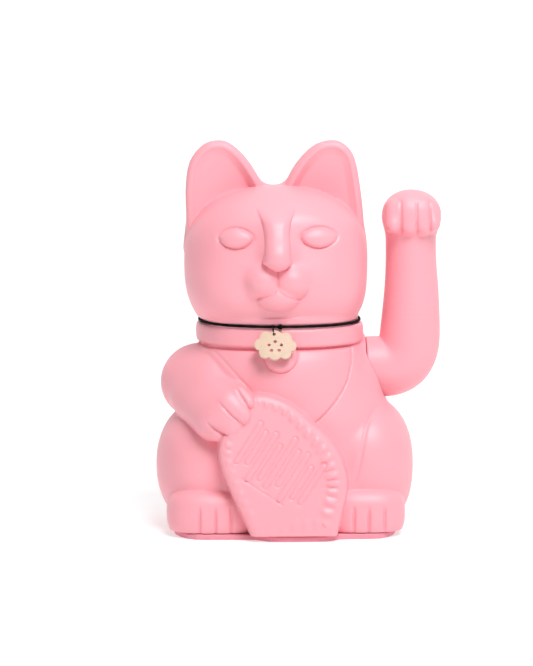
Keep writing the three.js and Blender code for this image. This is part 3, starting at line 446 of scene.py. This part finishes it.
def rod_object(axis, a, b, u, v, r, seg=48):
    bm = bmesh.new(); bmesh.ops.create_cone(bm, cap_ends=True, segments=seg, radius1=r * MM, radius2=r * MM, depth=(b - a) * MM)
    R = {"x": Matrix.Rotation(math.pi / 2, 4, "Y"), "z": Matrix.Identity(4)}[axis]
    T = {"x": Vector(((a + b) / 2, u, v)), "z": Vector((u, v, (a + b) / 2))}[axis] * MM
    bmesh.ops.transform(bm, matrix=Matrix.Translation(T) @ R, verts=bm.verts)
    me = bpy.data.meshes.new("tool"); bm.to_mesh(me); bm.free()
    o = bpy.data.objects.new("tool", me); bpy.context.scene.collection.objects.link(o)
    return o
def boolean(o, tools, op):
    for t in tools:
        m = o.modifiers.new("b", "BOOLEAN"); m.object = t; m.operation = op; m.solver = "MANIFOLD"
    dg = bpy.context.evaluated_depsgraph_get()
    me = bpy.data.meshes.new_from_object(o.evaluated_get(dg))
    old = o.data; o.modifiers.clear(); o.data = me; bpy.data.meshes.remove(old)
def drop(*objs):
    for o in objs:
        me = o.data; bpy.data.objects.remove(o); bpy.data.meshes.remove(me)
def twin(o, name):
    n = bpy.data.objects.new(name, o.data.copy()); bpy.context.scene.collection.objects.link(n); return n
def smooth(o, angle=38):
    me = o.data
    me.shade_smooth()
    me.set_sharp_from_angle(angle=math.radians(angle))

STEP = 0.45
P, T, Q = surface(body, (-54, -50, -3), (54, 50, 150), STEP)
whole = mesh_object("whole", P, T, Q)
Pi, Ti, Qi = hollow(P, T, Q, 2.0, 1.6)
inner = mesh_object("inner", Pi, Ti, Qi)
socket = rod_object("x", 29.0, 70, 0, 60.4, 14.1, 40)
boolean(inner, [socket], "DIFFERENCE")
pieces = []
for name, y0, y1 in (("shell_front", -90, -0.07), ("shell_rear", 0.07, 90)):
    o = twin(whole, name)
    half = box_object(-80, 80, y0, y1, 2.35, 200)
    boolean(o, [half], "INTERSECT")
    hole = rod_object("x", 20, 40, 0, 60.4, 2.2, 32)
    boolean(o, [inner, hole], "DIFFERENCE")
    drop(half, hole); smooth(o); pieces.append(o)
drop(whole, inner, socket)
front, rear = pieces
Pa, Ta, Qa = surface(arm, (28, -20, 44), (64, 16, 131), 0.5)
arm_whole = mesh_object("arm_whole", Pa, Ta, Qa)
Pb, Tb, Qb = hollow(Pa, Ta, Qa, 1.8, 1.2)
arm_inner = mesh_object("arm_inner", Pb, Tb, Qb)
arms = []
for name, y0, y1 in (("arm_front", -90, -0.07), ("arm_rear", 0.07, 90)):
    o = twin(arm_whole, name); half = box_object(0, 90, y0, y1, 0, 200); hole = rod_object("x", 20, 36, 0, 60.4, 1.9, 32)
    boolean(o, [half], "INTERSECT"); boolean(o, [arm_inner, hole], "DIFFERENCE"); drop(half, hole); smooth(o); arms.append(o)
drop(arm_whole, arm_inner)
for o, node, b in ((front, "body_shell_front", "housing"), (rear, "body_shell_rear", "housing"), (arms[0], "arm_shell_front", "arm"), (arms[1], "arm_shell_rear", "arm")):
    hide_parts(node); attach(o, b)

# ------------------------------------------------------------------ cord, loop and charm
def tube(name, pts, r, seg=12, closed=True, ridge=0.0, strands=3, turns=0):
    """A round thread along a closed route, with the twist of its cover."""
    P = np.array(pts, float); n = len(P); bm = bmesh.new(); rings = []
    for i in range(n):
        t = P[(i + 1) % n] - P[i - 1]; t /= np.linalg.norm(t)
        side = np.cross(t, [0, 0, 1.0]) if abs(t[2]) < 0.9 else np.cross(t, [1.0, 0, 0]); side /= np.linalg.norm(side); up = np.cross(side, t)
        ring = []
        for j in range(seg):
            a = 2 * math.pi * j / seg
            rr = r * (1 + ridge * math.cos(strands * a + 2 * math.pi * turns * i / n))
            ring.append(bm.verts.new((P[i] + rr * (math.cos(a) * side + math.sin(a) * up)) * MM))
        rings.append(ring)
    for i in range(n):
        A, B = rings[i], rings[(i + 1) % n]
        for j in range(seg): bm.faces.new((A[j], A[(j + 1) % seg], B[(j + 1) % seg], B[j]))
    bmesh.ops.recalc_face_normals(bm, faces=bm.faces)
    me = bpy.data.meshes.new(name); bm.to_mesh(me); bm.free(); me.shade_smooth()
    o = bpy.data.objects.new(name, me); bpy.context.scene.collection.objects.link(o); return o
route = []
for i in range(420):
    a = 2 * math.pi * i / 420; c, q = math.cos(a), math.sin(a); k = (abs(c) ** 2.3 + abs(q) ** 2.3) ** (-1 / 2.3)
    route.append((-1.6 + 30.35 * c * k, 0.05 + 29.68 * q * k, 78.9))
cord = tube("neck_thread", route, 0.5, 12, ridge=0.06, strands=4, turns=36)
knot = tube("neck_knot", [(-2.4 + 0.55 * math.cos(a), -30.1 + 0.30 * math.sin(2 * a), 78.9 + 0.62 * math.sin(a)) for a in np.linspace(0, 2 * math.pi, 40, endpoint=False)], 0.42, 10, ridge=0.05)
CH = Matrix.Translation(Vector((-5, -29.8, 78.9)) * MM) @ Matrix.Rotation(math.radians(58), 4, "X")
loop = tube("charm_thread", [(0.0 + 0.0 * t, y, z) for t, y, z in [(0, -1.45 + 2.0 * math.cos(a) , 0.62 * math.sin(a)) for a in np.linspace(0, 2 * math.pi, 48, endpoint=False)]], 0.22, 8)
loop.data.transform(CH)
def charm_outline():
    lobes = [(-6.1 + 0, 0.3, 2.35), (-3.7, 3.3, 2.5), (0.2, 3.5, 2.7), (4.2, 2.8, 2.5), (6.2, -0.3, 2.3), (3.9, -3.2, 2.5), (-0.3, -3.6, 2.6), (-4.2, -3.0, 2.4)]
    out = []
    for a in np.linspace(0, 2 * math.pi, 240, endpoint=False):
        d = np.array([math.cos(a), math.sin(a)]); best = 4.0
        for x, y, r in lobes:
            q = d @ [x, y]; h = r * r - (x * x + y * y - q * q)
            if h > 0: best = max(best, q + math.sqrt(h))
        out.append(d * best)
    P = np.array(out)
    for _ in range(3): P = (P + np.roll(P, 1, 0) * 0.35 + np.roll(P, -1, 0) * 0.35) / 1.7
    return P * np.array([0.93, 0.98])
def charm_piece():
    P = charm_outline(); c = np.array([0.6, -7.7]); b = 0.16; z0, z1 = -0.4, 0.6
    n = P / np.linalg.norm(P, axis=1)[:, None]
    holes = [(0.3, -3.3 - 0.0, 0.62)] + [(0.6 + 2.4 * math.cos(a), -8.3 + 2.0 * math.sin(a), 0.6) for a in np.linspace(math.pi / 2, 2.5 * math.pi, 5, endpoint=False)]
    bm = bmesh.new(); loops = []
    for off, z in ((b, z0), (0, z0 + b), (0, z1 - b), (b * 0.35, z1 - b * 0.3), (b, z1)):
        loops.append([bm.verts.new((p[0] + c[0] - m[0] * off, p[1] + c[1] - m[1] * off, z)) for p, m in zip(P, n)])
    for A, B in zip(loops[:-1], loops[1:]):
        for j in range(len(A)): bm.faces.new((A[j - 1], A[j], B[j], B[j - 1]))
    bm.faces.new(loops[0][::-1]); bm.faces.new(loops[-1])
    bmesh.ops.recalc_face_normals(bm, faces=bm.faces); bmesh.ops.triangulate(bm, faces=bm.faces)
    me = bpy.data.meshes.new("charm_plate_piece"); bm.to_mesh(me); bm.free()
    o = bpy.data.objects.new("charm_flower", me); bpy.context.scene.collection.objects.link(o)
    for x, y, r in holes:
        t = bmesh.new(); bmesh.ops.create_cone(t, cap_ends=True, segments=28, radius1=r, radius2=r, depth=4); bmesh.ops.translate(t, verts=t.verts, vec=(x, y, 0))
        tm = bpy.data.meshes.new("tool"); t.to_mesh(tm); t.free(); to = bpy.data.objects.new("tool", tm); bpy.context.scene.collection.objects.link(to)
        boolean(o, [to], "DIFFERENCE"); drop(to)
    o.data.transform(Matrix.Scale(MM, 4)); o.data.transform(CH); smooth(o, 30); return o
charm = charm_piece()
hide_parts("neck_cord"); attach(cord, "housing"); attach(knot, "housing")
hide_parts("charm_loop"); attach(loop, "charm_ring")
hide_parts("charm"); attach(charm, "charm_plate")

# ------------------------------------------------------------------ materials
def lin(h):
    v = [int(h[i:i + 2], 16) / 255 for i in (1, 3, 5)]
    return [c / 12.92 if c <= 0.04045 else ((c + 0.055) / 1.055) ** 2.4 for c in v] + [1.0]
def material(name, color, rough, metal=0.0, vary=0.03, grain=900, bump=0.04, sheen=0.0, spec=0.5, sss=0.0, scale2=60):
    m = bpy.data.materials.new(name); m.use_nodes = True
    nt = m.node_tree; N, L = nt.nodes, nt.links; b = N["Principled BSDF"]
    tc = N.new("ShaderNodeTexCoord")
    n1 = N.new("ShaderNodeTexNoise"); n1.inputs["Scale"].default_value = scale2; n1.inputs["Detail"].default_value = 4
    n2 = N.new("ShaderNodeTexNoise"); n2.inputs["Scale"].default_value = grain; n2.inputs["Detail"].default_value = 3
    for n in (n1, n2): L.new(tc.outputs["Object"], n.inputs["Vector"])
    c = lin(color)
    ramp = N.new("ShaderNodeValToRGB"); e = ramp.color_ramp.elements
    e[0].position, e[1].position = 0.3, 0.7
    e[0].color = [v * (1 - vary) for v in c[:3]] + [1]; e[1].color = [min(1, v * (1 + vary)) for v in c[:3]] + [1]
    L.new(n1.outputs["Fac"], ramp.inputs["Fac"]); L.new(ramp.outputs["Color"], b.inputs["Base Color"])
    mr = N.new("ShaderNodeMapRange"); mr.inputs["To Min"].default_value = rough - 0.05; mr.inputs["To Max"].default_value = rough + 0.05
    L.new(n2.outputs["Fac"], mr.inputs["Value"]); L.new(mr.outputs["Result"], b.inputs["Roughness"])
    bp = N.new("ShaderNodeBump"); bp.inputs["Strength"].default_value = bump; bp.inputs["Distance"].default_value = 0.0003
    L.new(n2.outputs["Fac"], bp.inputs["Height"]); L.new(bp.outputs["Normal"], b.inputs["Normal"])
    b.inputs["Metallic"].default_value = metal; b.inputs["Specular IOR Level"].default_value = spec
    if sheen: b.inputs["Sheen Weight"].default_value = sheen; b.inputs["Sheen Roughness"].default_value = 0.5
    if sss:
        b.inputs["Subsurface Weight"].default_value = sss; b.inputs["Subsurface Scale"].default_value = 0.002
        b.inputs["Subsurface Radius"].default_value = (1.0, 0.45, 0.4)
    return m
PINK = material("pink_soft_plastic", "#f9a6b1", 0.44, vary=0.012, bump=0.05, spec=0.55)
M = {"pink_plastic": PINK, "base_pink": material("pink_base", "#ea93a3", 0.5, vary=0.02),
     "cell_jacket": material("cell_sleeve", "#3f6b5a", 0.35), "contact_metal": material("nickel", "#c9c9c4", 0.3, 1.0),
     "white_plastic": material("natural_plastic", "#e6e4dd", 0.5), "screw_steel": material("zinc", "#b9bbbd", 0.35, 1.0),
     "shaft_steel": material("steel", "#bcbec1", 0.28, 1.0), "weight_steel": material("pressed_steel", "#8b8d90", 0.45, 1.0),
     "magnet_metal": material("magnet_nickel", "#b4b4b8", 0.22, 1.0), "board_green": material("board", "#2f6b3c", 0.4),
     "black_plastic": material("black_plastic", "#1b1b1d", 0.45), "copper": material("copper", "#b26a38", 0.35, 1.0, grain=2500, bump=0.3),
     "capacitor_sleeve": material("capacitor", "#26324f", 0.4), "lead_red": material("wire_red", "#b4231f", 0.45), "lead_black": material("wire_black", "#17171a", 0.45),
     "cord_black": material("elastic", "#050405", 0.85, bump=0.5, grain=3000, spec=0.15), "charm_cream": material("cream_plastic", "#d6bca4", 0.55, vary=0.04, scale2=900)}
slots = {s["node"]: s["material_slot"] for s in frame["record"]["subparts"]}
for node, obj in frame["nodes"].items():
    for i in range(max(1, len(obj.data.materials))):
        if len(obj.data.materials): obj.data.materials[i] = M[slots[node]]
        else: obj.data.materials.append(M[slots[node]])
for o in (front, rear, *arms): o.data.materials.clear(); o.data.materials.append(PINK)
for o in (cord, knot, loop): o.data.materials.append(M["cord_black"])
charm.data.materials.clear(); charm.data.materials.append(M["charm_cream"])

# ------------------------------------------------------------------ floor, light, camera
def plane(name, size, z):
    bm = bmesh.new(); bmesh.ops.create_grid(bm, x_segments=1, y_segments=1, size=size); me = bpy.data.meshes.new(name); bm.to_mesh(me); bm.free()
    o = bpy.data.objects.new(name, me); o.location.z = z; bpy.context.scene.collection.objects.link(o); return o
ground = plane("floor", 12, 0)
fm = bpy.data.materials.new("floor_white"); fm.use_nodes = True
fb = fm.node_tree.nodes["Principled BSDF"]; fb.inputs["Base Color"].default_value = (0.62, 0.62, 0.625, 1); fb.inputs["Roughness"].default_value = 0.9; fb.inputs["Specular IOR Level"].default_value = 0.1
fb.inputs["Emission Color"].default_value = (1, 1, 1, 1); fb.inputs["Emission Strength"].default_value = 0.5
FN = fm.node_tree.nodes
# the sweep behind the object is lit a little more, as by a background lamp
ftc = FN.new("ShaderNodeTexCoord"); fsp = FN.new("ShaderNodeSeparateXYZ"); fmr = FN.new("ShaderNodeMapRange")
fmr.inputs["From Min"].default_value = 0.15; fmr.inputs["From Max"].default_value = 1.6; fmr.inputs["To Min"].default_value = 0.5; fmr.inputs["To Max"].default_value = 0.8
fm.node_tree.links.new(ftc.outputs["Object"], fsp.inputs["Vector"]); fm.node_tree.links.new(fsp.outputs["Y"], fmr.inputs["Value"]); fm.node_tree.links.new(fmr.outputs["Result"], fb.inputs["Emission Strength"])
ground.location.z = 0.00003
ground.data.materials.append(fm)
bpy.context.scene.view_settings.view_transform = "Standard"
w = bpy.data.worlds.new("studio"); bpy.context.scene.world = w; w.use_nodes = True
N, L = w.node_tree.nodes, w.node_tree.links
tc = N.new("ShaderNodeTexCoord"); sp = N.new("ShaderNodeSeparateXYZ"); mr = N.new("ShaderNodeMapRange"); bgn = N["Background"]
L.new(tc.outputs["Generated"], sp.inputs["Vector"]); L.new(sp.outputs["Y"], mr.inputs["Value"])
mr.inputs["From Min"].default_value = 0.05; mr.inputs["From Max"].default_value = 0.75; mr.inputs["To Min"].default_value = 0.22; mr.inputs["To Max"].default_value = 1.08
L.new(mr.outputs["Result"], bgn.inputs[1]); bgn.inputs[0].default_value = (1, 1, 1, 1)
def area(name, loc, size, power, color=(1, 1, 1)):
    l = bpy.data.lights.new(name, "AREA"); l.size = size; l.energy = power; l.color = color
    o = bpy.data.objects.new(name, l); o.location = loc; bpy.context.scene.collection.objects.link(o)
    o.rotation_euler = (Vector((0, 0, 0.07)) - Vector(loc)).to_track_quat("-Z", "Y").to_euler(); return o
area("key", (0.28, -0.78, 1.18), 0.60, 17.0)
area("top", (0.0, 0.1, 1.3), 0.8, 2.5)
cam = bpy.data.cameras.new("cam"); co = bpy.data.objects.new("cam", cam); bpy.context.scene.collection.objects.link(co)
cam.sensor_fit = "HORIZONTAL"; cam.sensor_width = 36; cam.lens = 36 * 3684.2 / 533; cam.clip_end = 20
az, el, dist = math.radians(-2), math.radians(6.5), 1.4
tgt = Vector((-0.00646, 0, 0.07324))
dirv = Vector((math.sin(az) * math.cos(el), -math.cos(az) * math.cos(el), math.sin(el)))
co.location = tgt + dirv * dist; co.rotation_euler = (-dirv).to_track_quat("-Z", "Y").to_euler()
bpy.context.scene.camera = co
